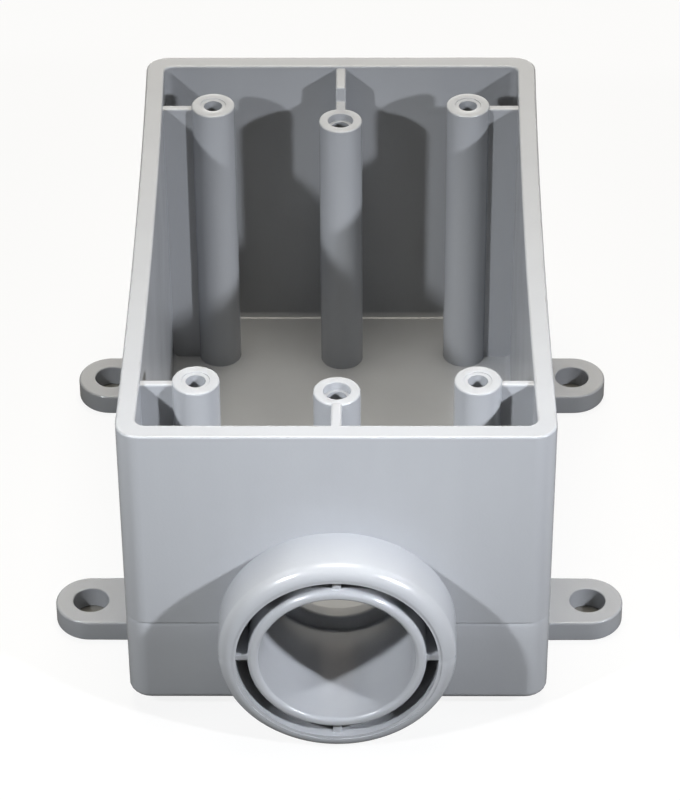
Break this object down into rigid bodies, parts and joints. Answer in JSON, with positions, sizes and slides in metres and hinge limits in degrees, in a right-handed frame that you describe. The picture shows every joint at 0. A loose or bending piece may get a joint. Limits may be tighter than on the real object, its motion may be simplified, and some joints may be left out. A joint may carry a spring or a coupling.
{
  "type": "outlet box",
  "caption": "Deep rectangular PVC outlet box with an open front, a conduit hub on its end wall, screw bosses inside and mounting lugs at its back.",
  "frame": {"origin": "centre of the box body on the plane of its back", "axes": "+X across the width, +Y along the length away from the conduit hub, +Z out of the open front"},
  "size_m": [0.1024, 0.1271, 0.0616],
  "materials": {
    "pvc": "satin moulded rigid PVC, light grey"
  },
  "bodies": {
    "root": {"outlet_box": "pvc"}
  },
  "joints": []
}
